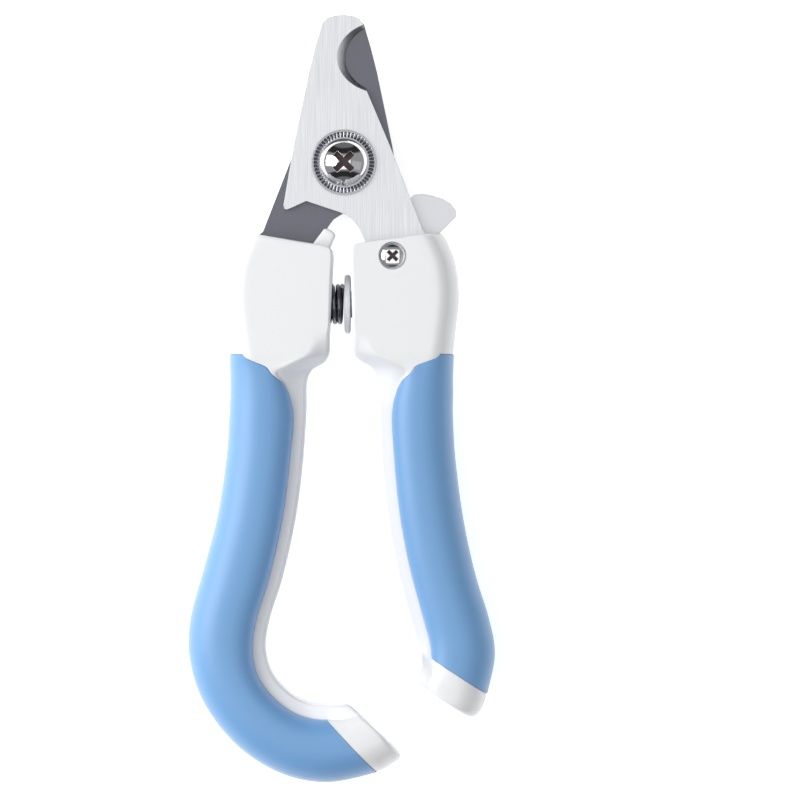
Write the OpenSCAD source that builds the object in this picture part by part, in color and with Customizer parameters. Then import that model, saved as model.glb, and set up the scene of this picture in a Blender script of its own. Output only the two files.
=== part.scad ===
// Pet nail clipper with two crossing blades, sprung handles and a thumb lock.
// It lies flat: X across the handles, Y towards the blade tips, Z up, in millimetres.

/* [Blades] */
// Thickness of each blade
blade_t = 2; // [1.6:0.1:2.4]
// Radius of the cutting edge in each blade
notch_r = 7.2; // [6.6:0.1:7.6]
// Width of the ground bevel at the middle of the cutting edge
bevel_w = 1.6; // [1:0.1:1.8]

/* [Handles] */
// Thickness of the handles at their crown
handle_t = 16; // [14.6:0.2:17]
// Thickness of the soft grip
grip_t = 1.3; // [0.9:0.1:1.6]
// How far the soft grip stands proud of the hard shells
grip_proud = 0.15; // [0:0.05:0.3]

/* [Pivot] */
// Diameter of the pivot screw's shank
pivot_d = 5; // [4:0.1:5.4]
// Diameter of the domed screw head
dome_d = 9.4; // [8:0.1:10]
// Diameter of the serrated collar
collar_d = 13; // [12:0.1:14]
// Number of serrations round the collar
serrations = 50; // [30:1:60]

/* [Lock] */
// Diameter of the lock screw's shank
lock_d = 2.6; // [2:0.1:3]
// Thickness of the lock lever
lever_t = 1.7; // [1.2:0.1:1.8]

/* [Spring] */
// Outer diameter of the coil
spring_d = 8.2; // [7:0.1:8.4]
// Diameter of the wire
wire_d = 0.9; // [0.7:0.05:1]
// Number of turns
turns = 10; // [8:1:11]

/* [Hidden] */

// The blades turn about the pivot, and everything below is drawn from its axis.
pivot_at = [0.4, 47.3];
mid = handle_t / 2;      // the plane where the two blades meet
gap = 0.03;              // running clearance of each blade from that plane
eps = 0.01;

white = [0.95, 0.95, 0.96];
sky = [0.45, 0.66, 0.88];
steel = [0.82, 0.82, 0.84];
dark_steel = [0.42, 0.42, 0.46];

// ---- curves ---------------------------------------------------------------------------

// A point on the smooth curve through b and c, t of the way along, with neighbours a and d
function blend4(a, b, c, d, t) =
    0.5 * (2 * b + (c - a) * t + (2 * a - 5 * b + 4 * c - d) * t * t
        + (3 * b - a - 3 * c + d) * t * t * t);

// The row at place u on the smooth curve through a list's rows; u = 2.5 is halfway from row 2 to row 3
function row_at(rows, u) = let (last = len(rows) - 1, i = min(floor(u), last - 1))
    blend4(rows[max(i - 1, 0)], rows[i], rows[i + 1], rows[min(i + 2, last)], u - i);

// Height of a rounded shoulder over its run, from 0 at p = 0 to 1 at p = 1
function shoulder_curve(p) = pow(1 - pow(1 - max(min(p, 1), 0), 2.3), 1 / 2.3);

function ease(p) = p * p * (3 - 2 * p);

// A solid skinned through a row of closed sections that all have the same even number of points.
// Each end is closed by a ladder of quads between the section's first and second half.
module skin(sections) {
    n = len(sections[0]);
    m = len(sections);
    sides = [for (i = [0:m - 2], k = [0:n - 1])
        let (a = i * n + k, b = i * n + (k + 1) % n) each [[a, b, b + n], [a, b + n, a + n]]];
    rungs = [for (k = [0:n / 2 - 2]) each [[k, n - 1 - k, n - 2 - k], [k, n - 2 - k, k + 1]]];
    far = (m - 1) * n;
    polyhedron(
        points = [for (s = sections) each s],
        faces = concat(rungs, sides, [for (f = rungs) [far + f[0], far + f[2], far + f[1]]]),
        convexity = 6);
}

// ---- handles --------------------------------------------------------------------------

// Each row is one rib across a handle, from the head to the tail:
// [inner x, inner y, outer x, outer y, grip start, rim height, shoulder height,
//  flange width, fall width, crown height]
// The grip starts at that share of the rib's surface line. Heights count from the middle plane.
right_ribs = [
    [ 3.4,  -16.2, 19.5,  -14.0, 0.70, 8.0, 8.0, 3.0, 5.0, 8.0],
    [ 1.8,  -16.7, 20.0,  -14.7, 0.70, 8.0, 8.0, 3.0, 5.0, 8.0],
    [ 1.3,  -18.2, 20.9,  -16.2, 0.70, 8.0, 8.0, 3.0, 5.0, 8.0],
    [ 1.4,  -22.5, 22.5,  -20.6, 0.70, 8.0, 8.0, 3.0, 5.0, 8.0],
    [ 1.6,  -28.4, 23.1,  -26.6, 0.70, 8.0, 8.0, 3.0, 5.0, 8.0],
    [ 1.8,  -34.0, 22.5,  -33.0, 0.70, 8.0, 8.0, 3.0, 5.0, 8.0],
    [ 1.9,  -37.8, 21.9,  -38.4, 0.66, 6.6, 8.0, 4.5, 5.2, 8.0],
    [ 3.0,  -39.5, 21.8,  -40.4, 0.49, 5.0, 8.0, 7.0, 5.6, 7.8],
    [ 5.4,  -41.0, 21.7,  -42.8, 0.39, 4.0, 7.3, 7.0, 6.2, 7.8],
    [ 6.5,  -43.6, 21.7,  -46.2, 0.28, 3.5, 5.0, 4.6, 6.8, 7.8],
    [ 6.7,  -49.0, 21.7,  -51.0, 0.25, 3.3, 3.7, 3.0, 7.0, 7.8],
    [ 7.0,  -58.0, 22.2,  -59.4, 0.25, 3.3, 3.7, 3.0, 7.2, 7.8],
    [ 8.1,  -69.0, 23.8,  -71.4, 0.25, 3.3, 3.7, 3.0, 7.4, 7.8],
    [10.0,  -79.5, 26.2,  -82.4, 0.25, 3.3, 3.7, 3.0, 7.6, 7.8],
    [12.5,  -89.4, 28.9,  -91.2, 0.25, 3.3, 3.7, 3.0, 7.6, 7.8],
    [14.0,  -94.0, 30.1,  -98.4, 0.25, 3.3, 3.7, 3.0, 7.6, 7.8],
    [15.0,  -97.4, 28.6, -106.2, 0.25, 3.6, 4.2, 3.0, 7.4, 7.8],
    [15.2, -100.0, 27.9, -108.6, 0.25, 5.0, 5.6, 3.0, 7.0, 7.8],
    [14.4, -102.2, 27.0, -110.3, 0.25, 5.4, 6.2, 3.0, 6.6, 7.8],
    [14.5, -103.5, 25.9, -111.1, 0.25, 5.4, 6.2, 3.0, 6.4, 7.8],
    [15.4, -104.3, 24.6, -110.8, 0.25, 5.4, 6.2, 3.0, 6.2, 7.8]];

left_ribs = [
    [ -3.6,  -16.8, -20.5,  -14.0, 0.70, 8.0, 8.0, 3.0, 5.0, 8.0],
    [ -2.5,  -17.4, -21.0,  -14.7, 0.70, 8.0, 8.0, 3.0, 5.0, 8.0],
    [ -2.1,  -18.8, -21.9,  -16.2, 0.70, 8.0, 8.0, 3.0, 5.0, 8.0],
    [ -2.3,  -22.8, -23.5,  -20.6, 0.70, 8.0, 8.0, 3.0, 5.0, 8.0],
    [ -2.5,  -28.4, -24.1,  -26.6, 0.70, 8.0, 8.0, 3.0, 5.0, 8.0],
    [ -2.8,  -34.0, -23.5,  -33.0, 0.70, 8.0, 8.0, 3.0, 5.0, 8.0],
    [ -2.9,  -38.0, -22.9,  -38.4, 0.66, 6.6, 8.0, 4.5, 5.2, 8.0],
    [ -3.9,  -40.0, -22.8,  -40.4, 0.49, 5.0, 8.0, 7.0, 5.6, 7.8],
    [ -6.3,  -41.5, -22.7,  -42.8, 0.39, 4.0, 7.3, 7.0, 6.2, 7.8],
    [ -7.4,  -44.2, -22.7,  -46.2, 0.28, 3.5, 5.0, 4.2, 6.8, 7.8],
    [ -7.5,  -50.0, -22.9,  -51.0, 0.25, 3.3, 3.7, 2.6, 7.0, 7.8],
    [ -8.2,  -60.0, -23.5,  -59.4, 0.25, 3.3, 3.7, 2.6, 7.2, 7.8],
    [ -9.6,  -71.0, -25.3,  -71.0, 0.25, 3.3, 3.7, 2.6, 7.4, 7.8],
    [-12.2,  -82.8, -28.2,  -82.0, 0.25, 3.3, 3.7, 2.6, 7.6, 7.8],
    [-14.6,  -90.4, -30.6,  -91.0, 0.25, 3.3, 3.7, 2.6, 7.6, 7.8],
    [-15.6,  -95.6, -30.9,  -98.6, 0.25, 3.3, 3.7, 2.6, 7.6, 7.8],
    [-15.2,  -99.6, -28.8, -106.4, 0.25, 3.3, 3.7, 2.8, 7.6, 7.8],
    [-13.9, -102.6, -24.4, -113.4, 0.25, 3.3, 3.7, 2.9, 7.6, 7.8],
    [-12.0, -104.9, -18.4, -119.0, 0.25, 3.3, 3.7, 3.0, 7.6, 7.8],
    [-10.0, -106.6, -10.9, -122.8, 0.25, 3.3, 3.7, 3.2, 7.6, 7.8],
    [ -8.2, -107.5,  -2.7, -123.9, 0.25, 3.3, 3.7, 3.6, 7.6, 7.8],
    [ -6.2, -108.2,   6.6, -121.9, 0.25, 3.8, 4.2, 4.2, 7.4, 7.8],
    [ -2.4, -108.4,   9.4, -120.5, 0.25, 5.0, 5.6, 3.8, 7.0, 7.8],
    [  0.6, -108.1,  11.3, -119.0, 0.25, 5.4, 6.2, 3.2, 6.6, 7.8],
    [  1.9, -108.8,  11.0, -117.4, 0.25, 5.4, 6.2, 3.0, 6.4, 7.8]];

grip_first = 6;          // the rib where the soft grip begins
grip_last = [16, 21];    // the rib where it ends: right, left
no_step = 0.04;          // where there is no grip the shell's line steps in by only this much
lip = 0.02;              // the walls at the grip's two ends are this steep, as a share of a rib's spacing

function rib_width(r) = norm([r[2] - r[0], r[3] - r[1]]);

// How far along a rib a share q of its surface line lies: the first quarter is the flange,
// the second the rise to the crown, and the rest the fall to the outer side
function along(r, q) = let (w = rib_width(r), rise_end = w - r[8])
    q <= 0.25 ? r[7] * q / 0.25
    : q <= 0.5 ? r[7] + (rise_end - r[7]) * (1 - cos((q - 0.25) * 360))
    : rise_end + r[8] * sin((q - 0.5) * 180);

// Half thickness of the handle there
function height(r, q) = let (x = along(r, q), w = rib_width(r), rise_end = w - r[8], top = r[9] * mid / 8)
    min(mid, q <= 0.25 ? (r[5] + (r[6] - r[5]) * ease(x / r[7])) * mid / 8
    : q <= 0.5 ? r[6] * mid / 8 + (top - r[6] * mid / 8) * shoulder_curve((x - r[7]) / (rise_end - r[7]))
    : top * shoulder_curve((w - x) / r[8]));

// A point of the rib: x along it, and a height over the middle plane
function at(r, x, h) = let (w = rib_width(r))
    [r[0] + (r[2] - r[0]) * x / w, r[1] + (r[3] - r[1]) * x / w, mid + h];

// The surface line from the grip's edge to just before the outer side, moved out by d (in where d < 0)
function outer_line(r, d) =
    let (w = rib_width(r), q0 = r[4], x0 = along(r, q0), pull = (w - x0 + d) / (w - x0))
    [for (p = [0, 0.13, 0.28, 0.45, 0.62, 0.78, 0.92])
        let (q = q0 + (1 - q0) * p) [x0 + (along(r, q) - x0) * pull, height(r, q) * (1 + d / mid)]];

// Section of one half of a handle, its outer part moved in by d; side is 1 for front, -1 for back
function half_section(r, side, d) = let (rim = r[5] * mid / 8, edge = 0.7) concat(
    [at(r, 0, 0), at(r, 0, side * (rim - edge)), at(r, 0.3 * edge, side * (rim - 0.25 * edge))],
    [for (p = [0.16, 0.34, 0.52, 0.64, 0.76, 0.88, 1])
        at(r, along(r, r[4] * p), side * height(r, r[4] * p))],
    [for (v = outer_line(r, -d)) at(r, v.x, side * v.y)],
    [at(r, rib_width(r) - d, 0)]);

// Line over a whole handle from the grip's front edge round the outer side to its back edge
function wrap(r, d) = let (line = outer_line(r, d)) concat(
    [for (v = line) at(r, v.x, v.y)],
    [at(r, rib_width(r) + d, 0)],
    [for (i = [len(line) - 1:-1:0]) at(r, line[i].x, -line[i].y)]);

function reversed(v) = [for (i = [len(v) - 1:-1:0]) v[i]];

// Places along the ribs where the grip's sections stand
function grip_places(last) =
    concat([grip_first + lip], [for (u = [grip_first + 0.5:0.5:last - 0.5]) u], [last - lip]);

module half_body(ribs, last, side) {
    places = concat([for (u = [0:0.5:grip_first]) [u, no_step]], [for (u = grip_places(last)) [u, grip_t]],
        [for (u = [last:0.5:len(ribs) - 1]) [u, no_step]]);
    turn = (ribs[0][2] > 0 ? -1 : 1) * side;
    skin([for (p = places)
        let (s = half_section(row_at(ribs, p[0]), side, p[1])) turn > 0 ? reversed(s) : s]);
}

module grip(ribs, last)
    skin([for (u = grip_places(last))
        let (r = row_at(ribs, u), s = concat(wrap(r, grip_proud), reversed(wrap(r, 0.03 - grip_t))))
            ribs[0][2] > 0 ? s : reversed(s)]);

// Space in a handle for the coil, along X from a to b
module coil_bore(a, b)
    translate([a, coil_y, mid])
        rotate([0, 90, 0])
            cylinder(d = spring_d + 1, h = b - a);

// ---- blades ---------------------------------------------------------------------------

blade_outline = [
    [3.1, 28.7], [1.8, 29.3], [0.1, 29.5], [-1.8, 29.4], [-3.3, 28.9], [-4.4, 27.8], [-4.84, 26.2],
    [-5.8, 22.9], [-7, 18.1], [-8, 13.3], [-9, 8.5], [-10, 3.7], [-12.1, -8.5], [-11.9, -9.3],
    [-11.4, -9.4], [-10.6, -9.1], [-7.56, -7.7], [0.2, -10.3], [1.78, -11.3], [2.8, -12.7], [4.2, -15.7],
    [5, -22.6], [17, -22.6], [17.6, -15], [15.9, -13.8], [13.2, -6.9], [9.1, 3.6], [4.4, 14.7], [3.9, 27.6]];
notch_y = 21.05;         // middle of the notch along the blade
notch_depth = -1.38;     // its deepest point on the blade's outer face
lock_at = [9.73, -18.81];
coil_y = -28.3;

// One blade with its inner face on z = 0, lying towards +Z
module blade(bore, lock_bore) {
    tilt = atan(bevel_w / blade_t);
    difference() {
        linear_extrude(blade_t - gap)
            polygon(blade_outline);
        translate([0, 0, -1])
            cylinder(d = bore, h = blade_t + 2);
        translate([lock_at.x, lock_at.y, -1])
            cylinder(d = lock_bore, h = blade_t + 2);
        translate([notch_depth + notch_r / cos(tilt), notch_y, blade_t - gap])
            rotate([0, -tilt, 0])
                translate([0, 0, -12])
                    cylinder(r = notch_r, h = 24);
    }
}

module front_blade()
    color(steel)
        translate([0, 0, mid + gap])
            blade(pivot_d + 0.04, lock_d + 0.04);

back_shift = -0.4;       // the back blade lies this far to the left of the front one's mirror image
horn_x = 10.7;           // its horn is ground back to here to clear the lock lever

module back_blade()
    color(dark_steel)
        difference() {
            translate([back_shift, 0, mid - gap])
                rotate([0, 180, 0])
                    blade(0.6, lock_d + 0.04);
            translate([0, 0, mid - 4])
                cylinder(d = pivot_d + 0.1, h = 5);
            translate([horn_x, -14, mid - 4])
                cube([6, 10, 5]);
        }

// ---- pivot ----------------------------------------------------------------------------

collar_t = 1;
front_face = mid + blade_t;      // outer face of the front blade
back_face = mid - blade_t;       // outer face of the back blade

// A cross recess for a driver, cut down by depth from z = 0
module cross(size, slot, depth)
    for (turn = [45, 135])
        rotate([0, 0, turn])
            translate([-size / 2, -slot / 2, -depth])
                cube([size, slot, depth + 3]);

// A domed screw head with its rim on z = 0
module dome(d, rise) {
    ball = (d * d / 4 + rise * rise) / (2 * rise);
    intersection() {
        translate([0, 0, rise - ball])
            sphere(r = ball);
        cylinder(d = d, h = rise + 1);
    }
}

module pivot_screw()
    color(steel)
        difference() {
            union() {
                translate([0, 0, 1.8])
                    cylinder(d = pivot_d, h = front_face + collar_t - 1.8);
                translate([0, 0, front_face + collar_t])
                    cylinder(d = dome_d, h = 0.7);
                translate([0, 0, front_face + collar_t + 0.7])
                    dome(dome_d, 2.5);
            }
            translate([0, 0, front_face + collar_t + 3.2])
                cross(4.8, 1.2, 1.7);
        }

module pivot_collar()
    color(steel)
        translate([0, 0, front_face])
            difference() {
                cylinder(d = collar_d, h = collar_t);
                translate([0, 0, -1])
                    cylinder(d = pivot_d + 0.04, h = collar_t + 2);
                for (i = [0:serrations - 1])
                    rotate([0, 0, i * 360 / serrations])
                        translate([dome_d / 2 + 0.35, -0.14, collar_t - 0.3])
                            cube([collar_d / 2 - dome_d / 2 - 0.75, 0.28, 1]);
            }

module back_washer()
    color(steel)
        translate([0, 0, back_face - 0.8])
            difference() {
                cylinder(d = 11, h = 0.78);
                translate([0, 0, -1])
                    cylinder(d = pivot_d + 0.04, h = 3);
            }

module pivot_nut()
    color(steel)
        translate([0, 0, back_face - 4])
            difference() {
                cylinder(d = 9.2, h = 3.2, $fn = 6);
                translate([0, 0, -1])
                    cylinder(d = pivot_d, h = 6);
            }

// ---- lock -----------------------------------------------------------------------------

lever_outline = [
    [10.9, -9.75], [13.3, -9.75], [13.55, -8.4], [13.2, -7.1], [14, -6.4], [15.5, -6.2], [17.5, -6.5],
    [19.8, -7.2], [21.4, -8.2], [22.4, -9.6], [22.4, -10.7], [19.5, -13.7], [14.6, -17.4], [13, -19],
    [9, -18.8], [6.6, -17], [8.6, -15.2], [10.9, -14]];
lever_z = mid - 0.2 - lever_t;
lever_play = 0.2;        // the lever turns freely on its screw's shank

module lock_lever()
    color(steel)
        difference() {
            union() {
                translate([0, 0, lever_z])
                    linear_extrude(lever_t)
                        polygon(lever_outline);
                translate([lock_at.x, lock_at.y, lever_z])
                    cylinder(r = 4, h = lever_t);
            }
            translate([lock_at.x, lock_at.y, lever_z - 1])
                cylinder(d = lock_d + lever_play, h = lever_t + 2);
        }

module lock_screw()
    color(steel)
        translate([lock_at.x, lock_at.y, 0])
            difference() {
                union() {
                    translate([0, 0, 2.5])
                        cylinder(d = lock_d, h = handle_t - 4);
                    translate([0, 0, handle_t - 1.5])
                        cylinder(d = 4.8, h = 0.8);
                    translate([0, 0, handle_t - 0.7])
                        dome(4.8, 0.5);
                }
                translate([0, 0, handle_t - 0.2])
                    cross(2.6, 0.7, 0.9);
            }

tang_at = [back_shift - lock_at.x, lock_at.y];

module tang_screw()
    color(steel)
        translate([tang_at.x, tang_at.y, 0])
            difference() {
                union() {
                    translate([0, 0, 1.4])
                        cylinder(d = lock_d, h = 10);
                    translate([0, 0, 0.6])
                        cylinder(d = 4.8, h = 1);
                }
                translate([0, 0, 0.5])
                    mirror([0, 0, 1])
                        cross(2.6, 0.7, 0.9);
            }

// ---- spring ---------------------------------------------------------------------------

coil_from = -10.8;       // end of the coil inside the left handle
coil_to = 0.05;          // end of the coil against its cup
wire_sides = 8;
turn_steps = 20;

// A point of the wire's skin: k counts along the coil, j round the wire
function wire_point(k, j) = let (
    steps = turns * turn_steps, a = 360 * k / turn_steps, b = 360 * j / wire_sides,
    x = coil_from + wire_d / 2 + (coil_to - coil_from - wire_d) * k / steps,
    r = (spring_d - wire_d) / 2 + wire_d / 2 * cos(b))
    [x + wire_d / 2 * sin(b), coil_y + r * cos(a), mid + r * sin(a)];

module spring()
    color(steel)
        skin([for (k = [0:turns * turn_steps]) [for (j = [0:wire_sides - 1]) wire_point(k, j)]]);

module spring_cup()
    color(white)
        translate([0, coil_y, mid])
            rotate([0, 90, 0]) {
                translate([0, 0, 0.1])
                    cylinder(d = 11.8, h = 1.2);
                cylinder(d = 5.4, h = 6);
            }

// ---- handle pieces --------------------------------------------------------------------

module right_shell_front()
    color(white)
        difference() {
            half_body(right_ribs, grip_last[0], 1);
            translate([0, 0, mid - 1])
                linear_extrude(blade_t + 1)
                    polygon([[0, -10], [4.15, -15.6], [4.95, -22.7], [17.1, -22.7], [17.7, -15], [16, -10]]);
            translate([lock_at.x, lock_at.y, 0])
                cylinder(d = lock_d + 0.04, h = 30);
            translate([lock_at.x, lock_at.y, handle_t - 1.5])
                cylinder(d = 5.4, h = 9);
            coil_seat();
        }

// Where the cup's plate and peg sit in the right handle
module coil_seat()
    translate([0, coil_y, mid])
        rotate([0, 90, 0]) {
            translate([0, 0, -2])
                cylinder(d = 12, h = 3.4);
            cylinder(d = 5.44, h = 6.1);
        }

module right_shell_back()
    color(white)
        difference() {
            half_body(right_ribs, grip_last[0], -1);
            translate([0, 0, mid - 2.2])
                linear_extrude(3)
                    polygon([[3, -10], [5, -23.4], [14, -23.4], [20.3, -15.2], [24.2, -10]]);
            translate([lock_at.x, lock_at.y, 2.4])
                cylinder(d = lock_d + 0.04, h = 30);
            coil_seat();
        }

module left_shell_front()
    color(white)
        difference() {
            union() {
                half_body(left_ribs, grip_last[1], 1);
                translate([0, 0, mid])
                    linear_extrude(4)
                        polygon([[-6.6, -17.5], [-6.2, -16.3], [-3.8, -13.1], [-2.4, -13.7],
                            [-1.6, -14.5], [-3, -17.6]]);
            }
            coil_bore(coil_from - 0.2, 1);
            translate([tang_at.x, tang_at.y, 0])
                cylinder(d = lock_d + 0.04, h = 11.6);
        }

module left_shell_back()
    color(white)
        difference() {
            half_body(left_ribs, grip_last[1], -1);
            translate([0, 0, mid - blade_t])
                linear_extrude(4)
                    polygon([[-16.4, -10], [-18.1, -15], [-17.5, -22.7], [-5.35, -22.7],
                        [-4.55, -15.6], [0, -10]]);
            coil_bore(coil_from - 0.2, 1);
            translate([tang_at.x, tang_at.y, -1])
                cylinder(d = lock_d + 0.04, h = 11);
            translate([tang_at.x, tang_at.y, -1])
                cylinder(d = 5.4, h = 2.6);
        }

module right_grip()
    color(sky)
        grip(right_ribs, grip_last[0]);

module left_grip()
    color(sky)
        grip(left_ribs, grip_last[1]);

// ---- the assembly ---------------------------------------------------------------------

module placed()
    translate([pivot_at.x, pivot_at.y, 0])
        children();

placed() front_blade();
placed() back_blade();
placed() pivot_screw();
placed() pivot_collar();
placed() back_washer();
placed() pivot_nut();
placed() right_shell_front();
placed() right_shell_back();
placed() right_grip();
placed() left_shell_front();
placed() left_shell_back();
placed() left_grip();
placed() spring();
placed() spring_cup();
placed() lock_lever();
placed() lock_screw();
placed() tang_screw();
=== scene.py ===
"""Looks for a pet nail clipper: soft-touch grips, moulded shells, brushed blades and chromed screws.

The pieces are worked out in millimetres from the pivot's axis, and metres() brings them to the frame.
Materials, the bevel, the floor, the lights and the camera are in metres.
"""
import math

import bmesh
import bpy
import numpy as np
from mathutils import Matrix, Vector


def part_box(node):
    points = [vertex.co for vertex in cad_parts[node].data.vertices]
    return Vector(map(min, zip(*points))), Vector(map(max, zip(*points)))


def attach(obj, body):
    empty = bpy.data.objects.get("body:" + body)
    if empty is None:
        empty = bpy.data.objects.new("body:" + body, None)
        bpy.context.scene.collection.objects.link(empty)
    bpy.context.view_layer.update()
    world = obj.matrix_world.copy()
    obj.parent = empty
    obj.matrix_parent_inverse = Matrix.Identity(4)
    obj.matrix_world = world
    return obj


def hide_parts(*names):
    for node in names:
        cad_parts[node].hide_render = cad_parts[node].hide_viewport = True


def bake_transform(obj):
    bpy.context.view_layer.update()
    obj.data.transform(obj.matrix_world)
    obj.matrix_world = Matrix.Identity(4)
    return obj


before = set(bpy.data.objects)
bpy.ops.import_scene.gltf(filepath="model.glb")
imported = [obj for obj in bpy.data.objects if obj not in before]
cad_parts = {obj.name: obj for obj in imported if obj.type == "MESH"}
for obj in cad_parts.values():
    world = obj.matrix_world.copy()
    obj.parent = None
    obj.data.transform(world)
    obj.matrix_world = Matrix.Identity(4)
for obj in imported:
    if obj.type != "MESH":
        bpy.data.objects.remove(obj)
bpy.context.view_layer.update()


# ---- sizes and places -----------------------------------------------------------------------


def middle(node):
    """The middle of a CAD node's box, in millimetres."""
    low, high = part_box(node)
    return (np.array(low) + np.array(high)) * 500


PIVOT = np.array([*middle("pivot_screw")[:2], 0.0])
LOCK_AT = (middle("lock_screw") - PIVOT)[:2]
TANG_AT = (middle("tang_screw") - PIVOT)[:2]
COIL_Y = (middle("spring_cup") - PIVOT)[1]
MID = 8.0            # height of the plane where the two blades meet
BLADE_T = 2.0
BACK_SHIFT = -0.4    # the back blade and its slot lie this far to the left
GRIP_T = 1.3         # thickness of the soft grip
GRIP_PROUD = 0.15    # how far it stands proud of the shell
SHELL_SHY = 0.012    # how far a bare shell stays inside its line
RIM_ROUND = 0.7      # radius along a handle's inner edge
END_ROUND = 0.8      # radius round a handle's two ends
GRIP_FIRST = 6       # the ribs where the soft grip begins and ends
GRIP_LAST = {"right": 16, "left": 21}
SHANK_R = 1.3        # lock and tang screws
HEAD_SEAT_R = 2.75   # the round seats of their heads
LOCK_SEAT = 2 * MID - 1.5    # height of the lock screw's seat
TANG_SEAT = 1.6      # height of the tang screw's seat, which opens at the back
PLAY = 0.03          # room over a tang and round the lock screw
REACH = 1            # how far a cutting tool reaches past the face that it opens
ABOVE = 20           # a height clear of the whole clipper
COLLAR_T = 1.0       # thickness of the serrated collar
RIDGES = 50          # serrations round the collar
FINE = 2    # multiplies the points of the handles, grips, coil and collar

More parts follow.
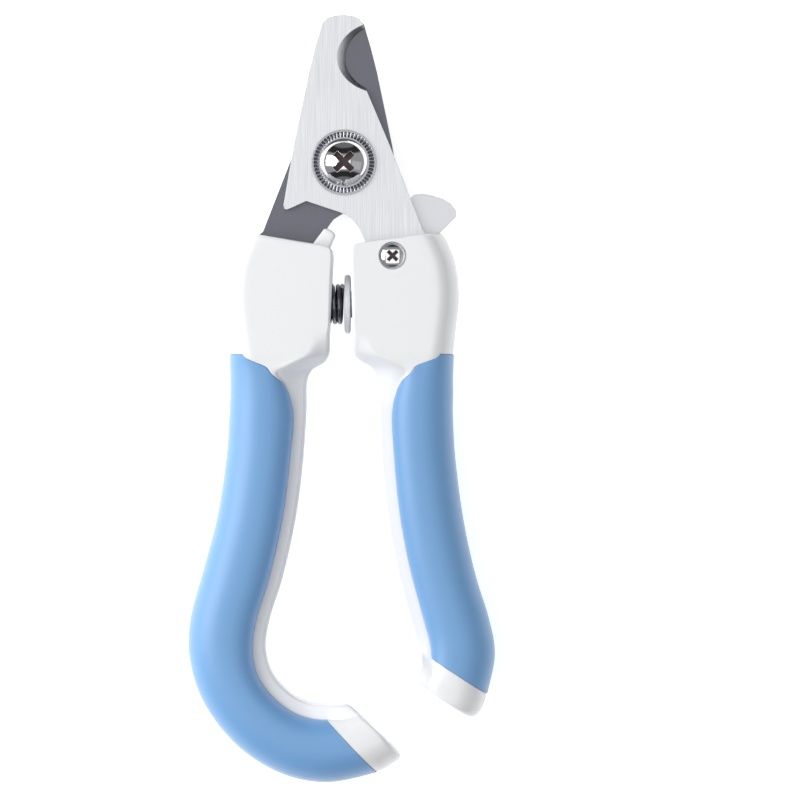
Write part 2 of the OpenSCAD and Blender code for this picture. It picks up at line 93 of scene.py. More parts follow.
# One rib a row, head to tail: inner x, y, outer x, y, grip start, rim height, shoulder height,
# flange width, fall width, crown height
RIBS = {
    "right": [
        [ 3.4,  -16.2, 19.5,  -14.0, 0.70, 8.0, 8.0, 3.0, 5.0, 8.0],
        [ 1.8,  -16.7, 20.0,  -14.7, 0.70, 8.0, 8.0, 3.0, 5.0, 8.0],
        [ 1.3,  -18.2, 20.9,  -16.2, 0.70, 8.0, 8.0, 3.0, 5.0, 8.0],
        [ 1.4,  -22.5, 22.5,  -20.6, 0.70, 8.0, 8.0, 3.0, 5.0, 8.0],
        [ 1.6,  -28.4, 23.1,  -26.6, 0.70, 8.0, 8.0, 3.0, 5.0, 8.0],
        [ 1.8,  -34.0, 22.5,  -33.0, 0.70, 8.0, 8.0, 3.0, 5.0, 8.0],
        [ 1.9,  -37.8, 21.9,  -38.4, 0.66, 6.6, 8.0, 4.5, 5.2, 8.0],
        [ 3.0,  -39.5, 21.8,  -40.4, 0.49, 5.0, 8.0, 7.0, 5.6, 7.8],
        [ 5.4,  -41.0, 21.7,  -42.8, 0.39, 4.0, 7.3, 7.0, 6.2, 7.8],
        [ 6.5,  -43.6, 21.7,  -46.2, 0.28, 3.5, 5.0, 4.6, 6.8, 7.8],
        [ 6.7,  -49.0, 21.7,  -51.0, 0.25, 3.3, 3.7, 3.0, 7.0, 7.8],
        [ 7.0,  -58.0, 22.2,  -59.4, 0.25, 3.3, 3.7, 3.0, 7.2, 7.8],
        [ 8.1,  -69.0, 23.8,  -71.4, 0.25, 3.3, 3.7, 3.0, 7.4, 7.8],
        [10.0,  -79.5, 26.2,  -82.4, 0.25, 3.3, 3.7, 3.0, 7.6, 7.8],
        [12.5,  -89.4, 28.9,  -91.2, 0.25, 3.3, 3.7, 3.0, 7.6, 7.8],
        [14.0,  -94.0, 30.1,  -98.4, 0.25, 3.3, 3.7, 3.0, 7.6, 7.8],
        [15.0,  -97.4, 28.6, -106.2, 0.25, 3.6, 4.2, 3.0, 7.4, 7.8],
        [15.2, -100.0, 27.9, -108.6, 0.25, 5.0, 5.6, 3.0, 7.0, 7.8],
        [14.4, -102.2, 27.0, -110.3, 0.25, 5.4, 6.2, 3.0, 6.6, 7.8],
        [14.5, -103.5, 25.9, -111.1, 0.25, 5.4, 6.2, 3.0, 6.4, 7.8],
        [15.4, -104.3, 24.6, -110.8, 0.25, 5.4, 6.2, 3.0, 6.2, 7.8]],
    "left": [
        [ -3.6,  -16.8, -20.5,  -14.0, 0.70, 8.0, 8.0, 3.0, 5.0, 8.0],
        [ -2.5,  -17.4, -21.0,  -14.7, 0.70, 8.0, 8.0, 3.0, 5.0, 8.0],
        [ -2.1,  -18.8, -21.9,  -16.2, 0.70, 8.0, 8.0, 3.0, 5.0, 8.0],
        [ -2.3,  -22.8, -23.5,  -20.6, 0.70, 8.0, 8.0, 3.0, 5.0, 8.0],
        [ -2.5,  -28.4, -24.1,  -26.6, 0.70, 8.0, 8.0, 3.0, 5.0, 8.0],
        [ -2.8,  -34.0, -23.5,  -33.0, 0.70, 8.0, 8.0, 3.0, 5.0, 8.0],
        [ -2.9,  -38.0, -22.9,  -38.4, 0.66, 6.6, 8.0, 4.5, 5.2, 8.0],
        [ -3.9,  -40.0, -22.8,  -40.4, 0.49, 5.0, 8.0, 7.0, 5.6, 7.8],
        [ -6.3,  -41.5, -22.7,  -42.8, 0.39, 4.0, 7.3, 7.0, 6.2, 7.8],
        [ -7.4,  -44.2, -22.7,  -46.2, 0.28, 3.5, 5.0, 4.2, 6.8, 7.8],
        [ -7.5,  -50.0, -22.9,  -51.0, 0.25, 3.3, 3.7, 2.6, 7.0, 7.8],
        [ -8.2,  -60.0, -23.5,  -59.4, 0.25, 3.3, 3.7, 2.6, 7.2, 7.8],
        [ -9.6,  -71.0, -25.3,  -71.0, 0.25, 3.3, 3.7, 2.6, 7.4, 7.8],
        [-12.2,  -82.8, -28.2,  -82.0, 0.25, 3.3, 3.7, 2.6, 7.6, 7.8],
        [-14.6,  -90.4, -30.6,  -91.0, 0.25, 3.3, 3.7, 2.6, 7.6, 7.8],
        [-15.6,  -95.6, -30.9,  -98.6, 0.25, 3.3, 3.7, 2.6, 7.6, 7.8],
        [-15.2,  -99.6, -28.8, -106.4, 0.25, 3.3, 3.7, 2.8, 7.6, 7.8],
        [-13.9, -102.6, -24.4, -113.4, 0.25, 3.3, 3.7, 2.9, 7.6, 7.8],
        [-12.0, -104.9, -18.4, -119.0, 0.25, 3.3, 3.7, 3.0, 7.6, 7.8],
        [-10.0, -106.6, -10.9, -122.8, 0.25, 3.3, 3.7, 3.2, 7.6, 7.8],
        [ -8.2, -107.5,  -2.7, -123.9, 0.25, 3.3, 3.7, 3.6, 7.6, 7.8],
        [ -6.2, -108.2,   6.6, -121.9, 0.25, 3.8, 4.2, 4.2, 7.4, 7.8],
        [ -2.4, -108.4,   9.4, -120.5, 0.25, 5.0, 5.6, 3.8, 7.0, 7.8],
        [  0.6, -108.1,  11.3, -119.0, 0.25, 5.4, 6.2, 3.2, 6.6, 7.8],
        [  1.9, -108.8,  11.0, -117.4, 0.25, 5.4, 6.2, 3.0, 6.4, 7.8]],
}


# ---- curves -----------------------------------------------------------------------------------

def row_at(rows, u):
    """The row at place u on the Catmull-Rom curve through the rows."""
    last = len(rows) - 1
    i = min(int(math.floor(u)), last - 1)
    t = u - i
    a, b, c, d = rows[max(i - 1, 0)], rows[i], rows[i + 1], rows[min(i + 2, last)]
    square, cube = 2 * a - 5 * b + 4 * c - d, 3 * b - a - 3 * c + d
    return 0.5 * (2 * b + (c - a) * t + square * t ** 2 + cube * t ** 3)


def shoulder(p):
    """A quarter of a superellipse of power 2.3, from 0 at p = 0 to 1 at p = 1."""
    p = np.clip(p, 0, 1)
    return (1 - (1 - p) ** 2.3) ** (1 / 2.3)


def ease(p):
    """3p squared less 2p cubed: an S from 0 to 1 that is level at both ends."""
    p = np.clip(p, 0, 1)
    return p * p * (3 - 2 * p)


class Rib:
    """One rib across a handle: x along it and half thickness h, for a share q from 0 to 1.

    To q = 0.25 the surface crosses the flange, to 0.5 it rises to the crown, then it falls to the outer side.
    """

    def __init__(self, row):
        """The row's values by name, with the rib's width and the place where its rise ends."""
        self.inner, self.outer = row[0:2], row[2:4]
        self.start, self.rim, self.top, self.flange, self.fall, self.crown = row[4:]
        self.width = math.hypot(*(self.outer - self.inner))
        self.rise_end = self.width - self.fall

    def along(self, q):
        """Linear over the flange, then one less a cosine over the rise, then a sine over the fall."""
        q = np.asarray(q, float)
        flange = self.flange * q / 0.25
        rise = self.flange + (self.rise_end - self.flange) * (1 - np.cos((q - 0.25) * 2 * math.pi))
        fall = self.rise_end + self.fall * np.sin((q - 0.5) * math.pi)
        return np.where(q <= 0.25, flange, np.where(q <= 0.5, rise, fall))

    def height(self, q):
        """Eased from rim to shoulder over the flange, then a superellipse up to the crown and down again."""
        q = np.asarray(q, float)
        x = self.along(q)
        low = self.rim + (self.top - self.rim) * ease(x / self.flange)
        climbed = (x - self.flange) / (self.rise_end - self.flange)
        rise = self.top + (self.crown - self.top) * shoulder(climbed)
        fall = self.crown * shoulder((self.width - x) / self.fall)
        return np.minimum(np.where(q <= 0.25, low, np.where(q <= 0.5, rise, fall)), MID)

    def outer_line(self, shares, d):
        """x and h from the grip's edge to just before the outer side, stretched out by d."""
        x0 = float(self.along(self.start))
        q = self.start + (1 - self.start) * shares
        stretch = (self.width - x0 + d) / (self.width - x0)
        return x0 + (self.along(q) - x0) * stretch, self.height(q) * (1 + d / MID)

    def at(self, x, h):
        """Points x along the rib and h above the middle plane."""
        x, h = np.broadcast_arrays(np.asarray(x, float), np.asarray(h, float))
        across = self.inner + (self.outer - self.inner) * (x / self.width)[:, None]
        return np.column_stack([across, MID + h])


# ---- meshes -----------------------------------------------------------------------------------

def metres(points):
    """Points in millimetres from the pivot, brought to the frame's metres."""
    return (np.asarray(points, float) + PIVOT) / 1000


def face_out(obj, angle):
    """Turns all faces outwards and shades smooth, but for edges sharper than angle."""
    b = bmesh.new()
    b.from_mesh(obj.data)
    bmesh.ops.recalc_face_normals(b, faces=b.faces)
    b.to_mesh(obj.data)
    b.free()
    obj.data.polygons.foreach_set("use_smooth", [True] * len(obj.data.polygons))
    obj.data.set_sharp_from_angle(angle=math.radians(angle))
    obj.data.update()
    return obj


def mesh_object(name, points, faces, angle=38):
    """A new piece from points in millimetres."""
    mesh = bpy.data.meshes.new(name)
    mesh.from_pydata(metres(points).tolist(), [], faces)
    mesh.validate()
    obj = bpy.data.objects.new(name, mesh)
    bpy.context.collection.objects.link(obj)
    return face_out(obj, angle)


def grid_faces(m, n, closed=False):
    """Quads between m rings of n points each; closed joins the last ring to the first as well."""
    i, k = np.meshgrid(np.arange(m if closed else m - 1), np.arange(n), indexing="ij")
    here, there, k2 = i * n, (i + 1) % m * n, (k + 1) % n
    return np.stack([here + k, here + k2, there + k2, there + k], -1).reshape(-1, 4).tolist()


def skin(name, sections, angle=38):
    """A closed skin through sections of one even number of points, each end closed by a ladder of quads."""
    n, m = len(sections[0]), len(sections)
    k = np.arange(n // 2 - 1)
    rungs = np.column_stack([k, n - 1 - k, n - 2 - k, k + 1])
    caps = rungs.tolist() + (rungs[:, ::-1] + (m - 1) * n).tolist()
    return mesh_object(name, np.concatenate(sections), grid_faces(m, n) + caps, angle)


def prism(name, outline, low, high):
    """A straight prism on a flat outline between two heights."""
    flat, n = np.asarray(outline, float), len(outline)
    points = np.concatenate([np.column_stack([flat, np.full(n, z)]) for z in (low, high)])
    return mesh_object(name, points, grid_faces(2, n) + [list(range(n)), list(range(n, 2 * n))])


def circle(radius, centre=(0, 0), n=48):
    """The centre plus the radius times the cosine and sine of n equal steps of a turn."""
    turn = np.linspace(0, 2 * math.pi, n, endpoint=False)
    return np.column_stack([centre[0] + radius * np.cos(turn), centre[1] + radius * np.sin(turn)])


def upright(centre):
    """Places a turned piece on a vertical axis at centre."""
    return lambda p: p + np.array([centre[0], centre[1], 0])


def along_coil(p):
    """Places a turned piece on the coil's axis, which runs along X."""
    return np.column_stack([p[:, 2], COIL_Y + p[:, 0], MID + p[:, 1]])


def turned(name, profile, place, n=96):
    """A turned solid: each (radius, height) of the profile sweeps a circle, and flat ends close it."""
    rings = [np.column_stack([circle(radius, n=n), np.full(n, z)]) for radius, z in profile]
    m = len(rings)
    ends = [list(range(n)), list(range((m - 1) * n, m * n))]
    return mesh_object(name, place(np.concatenate(rings)), grid_faces(m, n) + ends, angle=30)


def head_profile(diameter, base, rise, edge):
    """A domed head from its rim up: a small roll, a straight edge, then a ball through rim and crown."""
    r, roll, flat_top = diameter / 2, 0.1, 0.15
    ball = (r * r + rise * rise) / (2 * rise)
    x = np.linspace(r * 0.97, flat_top, 20)
    arc = np.column_stack([x, base + edge + rise - ball + np.sqrt(ball ** 2 - x * x)])
    return [(r - roll, base), (r, base + roll), (r, base + edge)] + arc.tolist()


def combine(obj, other, operation, angle=38):
    """Applies a boolean with other to obj and throws other away; a cut face takes other's material."""
    step = obj.modifiers.new("combine", "BOOLEAN")
    step.object, step.operation = other, operation
    step.solver, step.material_mode = "EXACT", "TRANSFER"
    done = bpy.data.meshes.new_from_object(obj.evaluated_get(bpy.context.evaluated_depsgraph_get()))
    obj.modifiers.clear()
    obj.data = done
    bpy.data.objects.remove(other)
    return face_out(obj, angle)


# ---- materials --------------------------------------------------------------------------------

def linear(code):
    """Linear RGBA of an sRGB hex colour."""
    rgb = [int(code[i:i + 2], 16) / 255 for i in (1, 3, 5)]
    return [c / 12.92 if c <= 0.04045 else ((c + 0.055) / 1.055) ** 2.4 for c in rgb] + [1.0]


def add(mat, kind, **inputs):
    """Adds a node; each input is a value, or another node's output to link."""
    node = mat.node_tree.nodes.new(kind)
    for key, value in inputs.items():
        socket = node.inputs[key.replace("_", " ")]
        if isinstance(value, bpy.types.NodeSocket):
            mat.node_tree.links.new(value, socket)
        else:
            socket.default_value = value
    return node


def finish_with(name, colour, metallic, rough, **more):
    """A Principled material with a plain value on each socket named; feed() may link a pattern over one."""
    mat = bpy.data.materials.new(name)
    mat.use_nodes = True
    shader = mat.node_tree.nodes["Principled BSDF"]
    values = {"Base Color": linear(colour), "Metallic": metallic, "Roughness": rough}
    values.update({key.replace("_", " "): value for key, value in more.items()})
    for key, value in values.items():
        shader.inputs[key].default_value = value
    return mat


def feed(mat, socket, output):
    """Links another node's output to a socket of the material's shader."""
    mat.node_tree.links.new(output, mat.node_tree.nodes["Principled BSDF"].inputs[socket])


def per(size_mm):
    """Repeats a metre of a pattern whose feature is size_mm."""
    return 1000 / size_mm


def moulded_abs():
    """White ABS from a polished mould: a soft gloss over a barely uneven skin, and small rounded edges."""
    mat = finish_with("moulded_abs", "#f3f4f6", 0.0, 0.28, Coat_Weight=0.15, Coat_Roughness=0.12)
    where = add(mat, "ShaderNodeTexCoord").outputs["Object"]
    skin_waves = add(mat, "ShaderNodeTexNoise", Vector=where, Scale=per(1.1), Detail=2.0).outputs["Fac"]
    edge = add(mat, "ShaderNodeBevel", Radius=0.00025).outputs["Normal"]
    uneven = add(mat, "ShaderNodeBump", Strength=0.03, Distance=0.00002, Height=skin_waves, Normal=edge)
    feed(mat, "Normal", uneven.outputs["Normal"])
    return mat


def soft_touch_tpe():
    """Pale blue TPE overmoulding: matt, finely pebbled, with a slight bloom at grazing angles."""
    mat = finish_with("soft_touch_tpe", "#74a7da", 0.0, 0.46, Sheen_Weight=0.35, Sheen_Roughness=0.4,
                      Coat_Weight=0.2, Coat_Roughness=0.3)
    where = add(mat, "ShaderNodeTexCoord").outputs["Object"]
    pebble = add(mat, "ShaderNodeTexNoise", Vector=where, Scale=per(0.38), Detail=4.0).outputs["Fac"]
    matt = add(mat, "ShaderNodeMapRange", Value=pebble, To_Min=0.42, To_Max=0.52).outputs["Result"]
    feed(mat, "Roughness", matt)
    bumps = add(mat, "ShaderNodeBump", Strength=0.12, Distance=0.00003, Height=pebble)
    feed(mat, "Normal", bumps.outputs["Normal"])
    return mat


def brushed_stainless():
    """Stainless steel brushed along the blade: long fine streaks, drawn a little coarse so that they show."""
    mat = finish_with("brushed_stainless", "#dcdde0", 1.0, 0.34)
    where = add(mat, "ShaderNodeTexCoord").outputs["Object"]
    streak = (per(0.185), per(10), per(0.185))
    place = add(mat, "ShaderNodeMapping", Vector=where, Scale=streak).outputs["Vector"]
    lines = add(mat, "ShaderNodeTexNoise", Vector=place, Scale=1.0, Detail=4.0).outputs["Fac"]
    shade = add(mat, "ShaderNodeValToRGB", Fac=lines)
    for stop, (where_at, code) in zip(shade.color_ramp.elements, ((0.3, "#c9cace"), (0.7, "#dddee1"))):
        stop.position, stop.color = where_at, linear(code)
    feed(mat, "Base Color", shade.outputs["Color"])
    gloss = add(mat, "ShaderNodeMapRange", Value=lines, To_Min=0.26, To_Max=0.44)
    feed(mat, "Roughness", gloss.outputs["Result"])
    edge = add(mat, "ShaderNodeBevel", Radius=0.00012).outputs["Normal"]
    grooves = add(mat, "ShaderNodeBump", Strength=0.12, Distance=0.00003, Height=lines, Normal=edge)
    feed(mat, "Normal", grooves.outputs["Normal"])
    return mat


def satin_dark_steel():
    """Steel coloured dark grey, darker than the front blade, with a satin gloss on which only faint long
    marks catch the light.
    """
    mat = finish_with("satin_dark_steel", "#6a6b73", 1.0, 0.36)
    where = add(mat, "ShaderNodeTexCoord").outputs["Object"]
    mark = (per(0.28), per(6.7), per(0.28))
    place = add(mat, "ShaderNodeMapping", Vector=where, Scale=mark).outputs["Vector"]
    lines = add(mat, "ShaderNodeTexNoise", Vector=place, Scale=1.0, Detail=3.0).outputs["Fac"]
    gloss = add(mat, "ShaderNodeMapRange", Value=lines, To_Min=0.32, To_Max=0.44)
    feed(mat, "Roughness", gloss.outputs["Result"])
    edge = add(mat, "ShaderNodeBevel", Radius=0.00012).outputs["Normal"]
    marks = add(mat, "ShaderNodeBump", Strength=0.06, Distance=0.00003, Height=lines, Normal=edge)
    feed(mat, "Normal", marks.outputs["Normal"])
    return mat


def stamped_steel():
    """Tumbled sheet steel of the lever: an even fine grain with no direction and dulled edges."""
    mat = finish_with("stamped_steel", "#cdced2", 1.0, 0.36)
    where = add(mat, "ShaderNodeTexCoord").outputs["Object"]
    grain = add(mat, "ShaderNodeTexNoise", Vector=where, Scale=per(0.67), Detail=3.0).outputs["Fac"]
    edge = add(mat, "ShaderNodeBevel", Radius=0.00015).outputs["Normal"]
    tumbled = add(mat, "ShaderNodeBump", Strength=0.1, Distance=0.00003, Height=grain, Normal=edge)
    feed(mat, "Normal", tumbled.outputs["Normal"])
    return mat


def worn_metal(name, colour, low, high, edge_radius):
    """A plain metal: gloss drifts between two roughnesses every 0.8 mm, over edges of one radius."""
    mat = finish_with(name, colour, 1.0, (low + high) / 2)
    where = add(mat, "ShaderNodeTexCoord").outputs["Object"]
    drift = add(mat, "ShaderNodeTexNoise", Vector=where, Scale=per(0.8), Detail=2.0).outputs["Fac"]
    gloss = add(mat, "ShaderNodeMapRange", Value=drift, To_Min=low, To_Max=high)
    feed(mat, "Roughness", gloss.outputs["Result"])
    if edge_radius:
        feed(mat, "Normal", add(mat, "ShaderNodeBevel", Radius=edge_radius).outputs["Normal"])
    return mat


def cup_nylon():
    """The spring cup's milky, slightly waxy nylon with well rounded edges; its colour is greyer than the
    shells', partly painted shade for its deeper place.
    """
    # the faint tint is the nylon's own; the greyness against the shells is painted shade, as the cup sits
    # deeper between them
    mat = finish_with("cup_nylon", "#dfe2e6", 0.0, 0.34)
    where = add(mat, "ShaderNodeTexCoord").outputs["Object"]
    waxy = add(mat, "ShaderNodeTexNoise", Vector=where, Scale=per(1.5), Detail=2.0).outputs["Fac"]
    gloss = add(mat, "ShaderNodeMapRange", Value=waxy, To_Min=0.3, To_Max=0.4)
    feed(mat, "Roughness", gloss.outputs["Result"])
    feed(mat, "Normal", add(mat, "ShaderNodeBevel", Radius=0.0003).outputs["Normal"])
    return mat


FINISH = {
    "shell": moulded_abs(),
    "grip": soft_touch_tpe(),
    "blade_front": brushed_stainless(),
    "blade_back": satin_dark_steel(),
    "lever": stamped_steel(),
    "chrome": worn_metal("polished_chrome", "#e6e6e8", 0.05, 0.08, 0.00012),      # mirror bright
    "steel": worn_metal("turned_steel", "#b9babd", 0.2, 0.28, 0.00006),           # plain bright washers
    "ribs": worn_metal("knurled_steel", "#a4a5aa", 0.13, 0.2, 0),                # its ridges glint one by one
    "recess": worn_metal("cross_painted_shade", "#54484a", 0.45, 0.55, 0),             # painted shade: dark dull metal on the cross recesses, standing in for the shade inside them
    "wire": worn_metal("spring_steel", "#77787c", 0.17, 0.24, 0),                 # drawn wire, oiled and dark
    "cup": cup_nylon(),
}


def paint(obj, finish):
    """Gives the whole piece one finish."""
    obj.data.materials.clear()
    obj.data.materials.append(FINISH[finish])
    return obj


def hand_over(obj, body, node):
    """Says which body the piece rides on, which CAD node it stands for."""
    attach(obj, body)
    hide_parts(node)


# ---- handles ----------------------------------------------------------------------------------

def places(side):
    """Places of the sections along the ribs, each with True where the soft grip covers it."""
    last, end = GRIP_LAST[side], len(RIBS[side]) - 1
    step, lip = 1 / (4 * FINE), 0.02
    head = [0, 0.1, 0.25, 0.45, 0.7, *np.arange(1, GRIP_FIRST, step), GRIP_FIRST]
    under = [GRIP_FIRST + lip, *np.arange(GRIP_FIRST + step, last - lip / 2, step), last - lip]
    tail = [*np.arange(last, end - 1, step), *(end - 1 + np.array([0, 0.3, 0.55, 0.75, 0.9, 1]))]
    return [(u, False) for u in head] + [(u, True) for u in under] + [(u, False) for u in tail]


def end_inset(u, end, rib_gap):
    """How far a section draws in near a handle's two ends: a quarter circle of radius END_ROUND."""
    gap = min(u * rib_gap[0], (end - u) * rib_gap[1])
    if gap >= END_ROUND:
        return 0.0
    return END_ROUND - math.sqrt(END_ROUND ** 2 - (END_ROUND - gap) ** 2)


def half_shell(side, half):
    """One moulded half: each section goes up the rounded rim, along the rib and down the outer side."""
    rows = np.array(RIBS[side], float)
    end = len(rows) - 1
    centres = (rows[:, 0:2] + rows[:, 2:4]) / 2
    gaps = [np.linalg.norm(centres[1] - centres[0]), np.linalg.norm(centres[-1] - centres[-2])]
    inner = np.linspace(0.02, 1, 17 * FINE)
    outer = np.linspace(0, 1, 15 * FINE, endpoint=False)
    arc = np.linspace(0, math.pi / 2, 5)[:-1]
    chamfer = 0.12    # where the two halves part
    sections = []
    for u, gripped in places(side):
        rib = Rib(row_at(rows, u))
        depth = GRIP_T if gripped else SHELL_SHY
        inset = end_inset(u, end, gaps)
        q = rib.start * inner
        past_arc = RIM_ROUND * (0.85 + 0.15 * inner)
        bare_x = np.maximum(rib.along(q), past_arc)
        out_x, out_h = rib.outer_line(outer, -depth)
        far = rib.width - depth
        x = np.concatenate([[chamfer, 0], RIM_ROUND * (1 - np.cos(arc)), bare_x, out_x, [far, far - chamfer]])
        rim = rib.rim - RIM_ROUND + RIM_ROUND * np.sin(arc)
        h = np.concatenate([[0, chamfer], rim, rib.height(q), out_h, [chamfer, 0]])
        x = inset + x * (rib.width - 2 * inset) / rib.width
        sections.append(rib.at(x, half * h * (1 - inset / MID)))
    if len(sections[0]) % 2:
        sections = [np.concatenate([s, (s[-1:] + s[:1]) / 2]) for s in sections]
    return skin(f"{side}_moulding_{'front' if half > 0 else 'back'}", sections)


def grip_sleeve(side):
    """The soft sleeve round a handle's outer side, as a U whose two edges roll down to the shell."""
    rows = np.array(RIBS[side], float)
    edge_share, edge_drop = [0, 0.008, 0.02, 0.04, 0.07], [0.25, 0.12, 0.04, 0.01, 0]
    shares = np.concatenate([edge_share[:-1], np.linspace(edge_share[-1], 1, 18 * FINE, endpoint=False)])
    drop = np.interp(shares, edge_share, edge_drop)
    clearance = 0.01
    inside = clearance - GRIP_T
    sections = []
    for u in [place for place, gripped in places(side) if gripped]:
        rib = Rib(row_at(rows, u))
        x, h = rib.outer_line(shares, GRIP_PROUD)
        x2, h2 = rib.outer_line(shares, inside)
        h = h - drop
        out = [rib.at(x, h), rib.at([rib.width + GRIP_PROUD], [0]), rib.at(x[::-1], -h[::-1])]
        back = [rib.at(x2, h2), rib.at([rib.width + inside], [0]), rib.at(x2[::-1], -h2[::-1])]
        sections.append(np.concatenate(out + [np.concatenate(back)[::-1]]))
    return skin(side + "_grip_soft", sections, angle=50)


def cut_tang_slot(obj, side, low, high):
    """The slot that the blade's tang fills, mirrored for the left handle."""
    slot = np.array([(0, -10), (4.15, -15.6), (4.95, -22.7), (17.1, -22.7), (17.7, -15), (16, -10)], float)
    if side == "left":
        slot = slot * (-1, 1) + (BACK_SHIFT, 0)
    return combine(obj, prism("cut", slot, low, high), "DIFFERENCE")


def cut_lever_room(obj):
    """The room in the right handle's back half in which the lock lever turns."""
    depth = 2.2
    room = [(3, -10), (5, -23.4), (14, -23.4), (20.3, -15.2), (24.2, -10)]
    return combine(obj, prism("cut", room, MID - depth, MID + REACH), "DIFFERENCE")


def cut_round(obj, centre, radius, low, high):
    """A round hole on an upright axis at centre, between two heights."""
    return combine(obj, prism("cut", circle(radius, centre), low, high), "DIFFERENCE")


def add_lug(obj):
    """The stop lug at the left head's inner corner, with rounded edges."""
    outline = [(-6.6, -17.5), (-6.2, -16.3), (-3.8, -13.1), (-2.4, -13.7), (-1.6, -14.5), (-3, -17.6)]
    off_plane, height = 0.02, 4
    lug = prism("lug", outline, MID + off_plane, MID + height)
    soften = lug.modifiers.new("soften", "BEVEL")
    soften.width, soften.segments = 0.0005, 3
    return combine(obj, lug, "UNION")


def cut_coil_way(obj, radius, start, stop):
    """The round way for the coil, or for the cup's peg, along X."""
    way = turned("cut", [(radius, start), (radius, stop)], along_coil, n=48)
    return combine(obj, way, "DIFFERENCE")


def dress_handles():
    """The four moulded halves with their cuts and lug, then the two soft sleeves."""
    peg_way = (2.75, -2, 6.1)    # radius, start and stop along X
    coil_way = (4.5, -11, 1)
    right_front, right_back = half_shell("right", 1), half_shell("right", -1)
    left_front, left_back = half_shell("left", 1), half_shell("left", -1)

    cut_tang_slot(right_front, "right", MID - REACH, MID + BLADE_T + PLAY)
    cut_round(right_front, LOCK_AT, HEAD_SEAT_R, LOCK_SEAT, ABOVE)
    cut_round(right_front, LOCK_AT, SHANK_R + PLAY, MID - REACH, ABOVE)
    cut_lever_room(right_back)
    cut_tang_slot(left_back, "left", MID - BLADE_T - PLAY, MID + REACH)
    cut_round(left_back, TANG_AT, HEAD_SEAT_R, -REACH, TANG_SEAT)
    add_lug(left_front)
    for obj in (right_front, right_back):
        cut_coil_way(obj, *peg_way)
    for obj in (left_front, left_back):
        cut_coil_way(obj, *coil_way)

    for obj, body, node in ((right_front, "right_half", "right_shell_front"),
                            (right_back, "right_half", "right_shell_back"),
                            (left_front, "left_half", "left_shell_front"),
                            (left_back, "left_half", "left_shell_back")):
        hand_over(paint(obj, "shell"), body, node)
    for side in ("right", "left"):
        hand_over(paint(grip_sleeve(side), "grip"), side + "_half", side + "_grip")


# ---- spring -----------------------------------------------------------------------------------

def dress_spring():
    """A helix carried by a round wire; the pitch eases to close turns at both ends."""
    turns, wire_d, outer_d, start, stop = 9, 0.9, 8.2, -10.6, 0.08
    per_turn, around = 36 * FINE, 12
    k = np.linspace(0, 1, turns * per_turn + 1)
    close, wide = 0.9, 1.25
    ends = [0, 0.7, 1.4, turns - 1.4, turns - 0.7, turns]
    pitch = np.interp(k * turns, ends, [close, close, wide, wide, close, close])
    run = np.concatenate([[0], np.cumsum((pitch[1:] + pitch[:-1]) / 2)])
    x = start + wire_d / 2 + (stop - start - wire_d) * run / run[-1]
    a = 2 * math.pi * turns * k
    b = np.linspace(0, 2 * math.pi, around, endpoint=False)
    r = (outer_d - wire_d) / 2 + wire_d / 2 * np.cos(b)[None, :]
    points = np.stack([x[:, None] + wire_d / 2 * np.sin(b)[None, :],
                       COIL_Y + r * np.cos(a)[:, None], MID + r * np.sin(a)[:, None]], -1)
    coil = paint(skin("coil", list(points), angle=60), "wire")
    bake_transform(coil)
    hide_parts("spring")


# ---- screws, collar and cup -------------------------------------------------------------------

def cut_cross(obj, centre, size, slot, low, high):
    """A driver's cross: one outline of twelve corners, turned by 45 degrees about the axis at centre; its cut
    faces take the recess colour, which is painted shade.
    """
    far, near = size / 2, slot / 2
    arm = np.array([(far, -near), (far, near), (near, near)])
    quarter = np.array([[0, 1], [-1, 0]])
    cross = np.concatenate([arm @ np.linalg.matrix_power(quarter, k) for k in range(4)])
    eighth = math.radians(45)
    spin = np.array([[math.cos(eighth), math.sin(eighth)], [-math.sin(eighth), math.cos(eighth)]])
    tool = prism("cut", cross @ spin + np.asarray(centre), low, high)
    # the cut faces of the cross take a dark colour: painted shade in the recess
    return combine(obj, paint(tool, "recess"), "DIFFERENCE", angle=30)


def collar():
    """A flat ring whose height drops by one less the size of a sine between two smooth rims."""
    per_ridge = 8 * FINE
    turn = np.linspace(0, 2 * math.pi, RIDGES * per_ridge, endpoint=False)
    valley = 1 - np.abs(np.sin(RIDGES / 2 * turn))
    top, bore = MID + BLADE_T + COLLAR_T, 2.52
    radii = [bore, 4.95, 5.05, 5.2, 5.5, 5.8, 5.98, 6.1, 6.35, 6.47, 6.5, 6.5, bore]
    cut = [0, 0, 0, 0.36, 0.42, 0.42, 0.36, 0, 0, 0, 0, 0, 0]
    drop = [0, 0, 0, 0, 0, 0, 0, 0, 0, 0.03, 0.12, COLLAR_T, COLLAR_T]
    r, depth, flat = [np.array(v)[:, None] for v in (radii, cut, drop)]
    rings = np.stack([r * np.cos(turn), r * np.sin(turn), top - flat - depth * valley], -1)
    faces = grid_faces(len(radii), len(turn), closed=True)
    return mesh_object("collar_ribbed", rings.reshape(-1, 3), faces, angle=50)


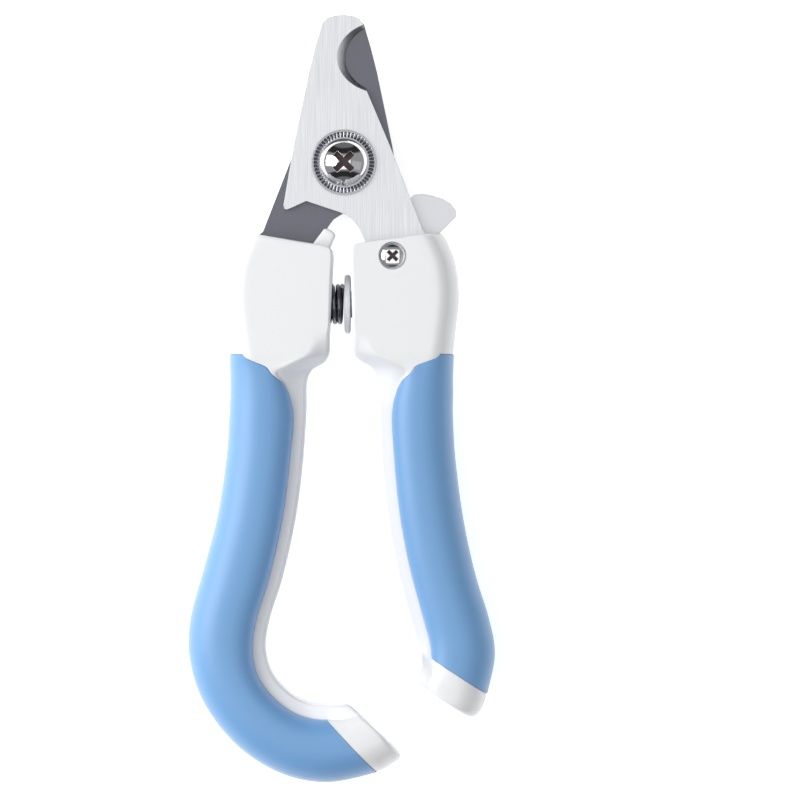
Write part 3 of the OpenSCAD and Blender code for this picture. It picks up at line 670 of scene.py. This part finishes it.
def dress_screws():
    """The turned pieces, each from a profile of radius and height: three screws, the collar and the cup."""
    collar_top = MID + BLADE_T + COLLAR_T
    head = head_profile(diameter=9.4, base=collar_top, rise=2.5, edge=0.7)
    shape = [(2.5, 1.8), (2.5, collar_top)] + head
    pivot = paint(turned("pivot_head", shape, upright((0, 0))), "chrome")
    cut_cross(pivot, (0, 0), size=4.8, slot=1.2, low=collar_top + 1.5, high=collar_top + 5.2)
    hand_over(pivot, "right_half", "pivot_screw")
    hand_over(paint(collar(), "ribs"), "right_half", "pivot_collar")

    head = head_profile(diameter=4.8, base=LOCK_SEAT, rise=0.5, edge=0.8)
    shape = [(SHANK_R, 2.5), (SHANK_R, LOCK_SEAT)] + head
    lock = paint(turned("lock_head", shape, upright(LOCK_AT)), "chrome")
    cut_cross(lock, LOCK_AT, size=2.6, slot=0.7, low=LOCK_SEAT + 0.4, high=LOCK_SEAT + 3)
    hand_over(lock, "right_half", "lock_screw")

    shape = [(2.3, 0.6), (2.4, 0.7), (2.4, TANG_SEAT), (SHANK_R, TANG_SEAT), (SHANK_R, 11.4)]
    tang = paint(turned("tang_head", shape, upright(TANG_AT)), "chrome")
    cut_cross(tang, TANG_AT, size=2.6, slot=0.7, low=-REACH, high=1.4)
    hand_over(tang, "left_half", "tang_screw")

    shape = [(5.45, 0.1), (5.75, 0.22), (5.9, 0.5), (5.9, 0.9), (5.75, 1.18), (5.45, 1.3),
             (2.7, 1.3), (2.7, 6)]
    hand_over(paint(turned("cup_round", shape, along_coil), "cup"), "right_half", "spring_cup")


def dress_flat_metal():
    """The blades, lever, washer and nut keep their CAD shape and take a finish."""
    finishes = {"front_blade": "blade_front", "back_blade": "blade_back", "lock_lever": "lever",
                "back_washer": "steel", "pivot_nut": "steel"}
    for node, finish in finishes.items():
        paint(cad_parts[node], finish)


dress_handles()
dress_spring()
dress_screws()
dress_flat_metal()


# ---- stage ------------------------------------------------------------------------------------

def softbox(name, at, size, power):
    """A rectangular light that faces the frame's origin at the height of the middle plane."""
    data = bpy.data.lights.new(name, "AREA")
    data.shape, data.size, data.size_y, data.energy = "RECTANGLE", size[0], size[1], power
    obj = bpy.data.objects.new(name, data)
    bpy.context.collection.objects.link(obj)
    obj.location = at
    obj.rotation_euler = (Vector((0, 0, MID / 1000)) - Vector(at)).to_track_quat("-Z", "Y").to_euler()


def floor():
    """White seamless paper just under the clipper, glowing a little so that it stays white."""
    side, gap = 8, 0.0003
    bpy.ops.mesh.primitive_plane_add(size=side, location=(0, 0, -gap))
    paper = bpy.context.object
    paper.name = "floor"
    glow = {"Emission_Color": (1, 1, 1, 1), "Emission_Strength": 0.6}
    paper.data.materials.append(finish_with("seamless_paper", "#ffffff", 0.0, 0.7, **glow))


def studio():
    """Surroundings in bands by the size of their direction's Y: bright, then dark flags, then grey ends."""
    strength = 0.33
    world = bpy.data.worlds.new("studio")
    bpy.context.scene.world = world
    world.use_nodes = True
    where = add(world, "ShaderNodeTexCoord").outputs["Generated"]
    split = add(world, "ShaderNodeSeparateXYZ", Vector=where)
    size = add(world, "ShaderNodeMath")
    size.operation = "ABSOLUTE"
    world.node_tree.links.new(split.outputs["Y"], size.inputs[0])
    bands = add(world, "ShaderNodeValToRGB", Fac=size.outputs["Value"])
    stops = bands.color_ramp.elements
    stops[0].position, stops[0].color = 0.0, (1, 1, 1, 1)
    stops[1].position, stops[1].color = 1.0, (0.5, 0.5, 0.52, 1)
    for place, grey in ((0.52, 1.0), (0.62, 0.08), (0.84, 0.08), (0.9, 0.5)):
        stops.new(place).color = (grey, grey, grey * 1.02, 1)
    background = world.node_tree.nodes["Background"]
    background.inputs["Strength"].default_value = strength
    world.node_tree.links.new(bands.outputs["Color"], background.inputs["Color"])


def camera():
    """A long lens straight above, so that the clipper is seen almost without perspective."""
    lens, sensor, view_width = 200, 36, 0.160
    aim_x, aim_y, aim_height = 0.0116, -0.0002, 0.010
    data = bpy.data.cameras.new("camera")
    data.lens, data.clip_start, data.clip_end = lens, 0.05, 20
    obj = bpy.data.objects.new("camera", data)
    bpy.context.collection.objects.link(obj)
    obj.location = (aim_x, aim_y, view_width * lens / sensor + aim_height)
    bpy.context.scene.camera = obj


floor()
studio()
softbox("key", at=(-0.62, 0.12, 0.46), size=(0.5, 0.7), power=5.6)
softbox("fill", at=(0.6, -0.1, 0.45), size=(0.4, 0.6), power=0.12)
softbox("top", at=(0.0, 0.0, 1.2), size=(1.2, 1.2), power=4.1)
camera()
bpy.context.scene.view_settings.view_transform = "Standard"
bpy.context.scene.view_settings.look = "None"
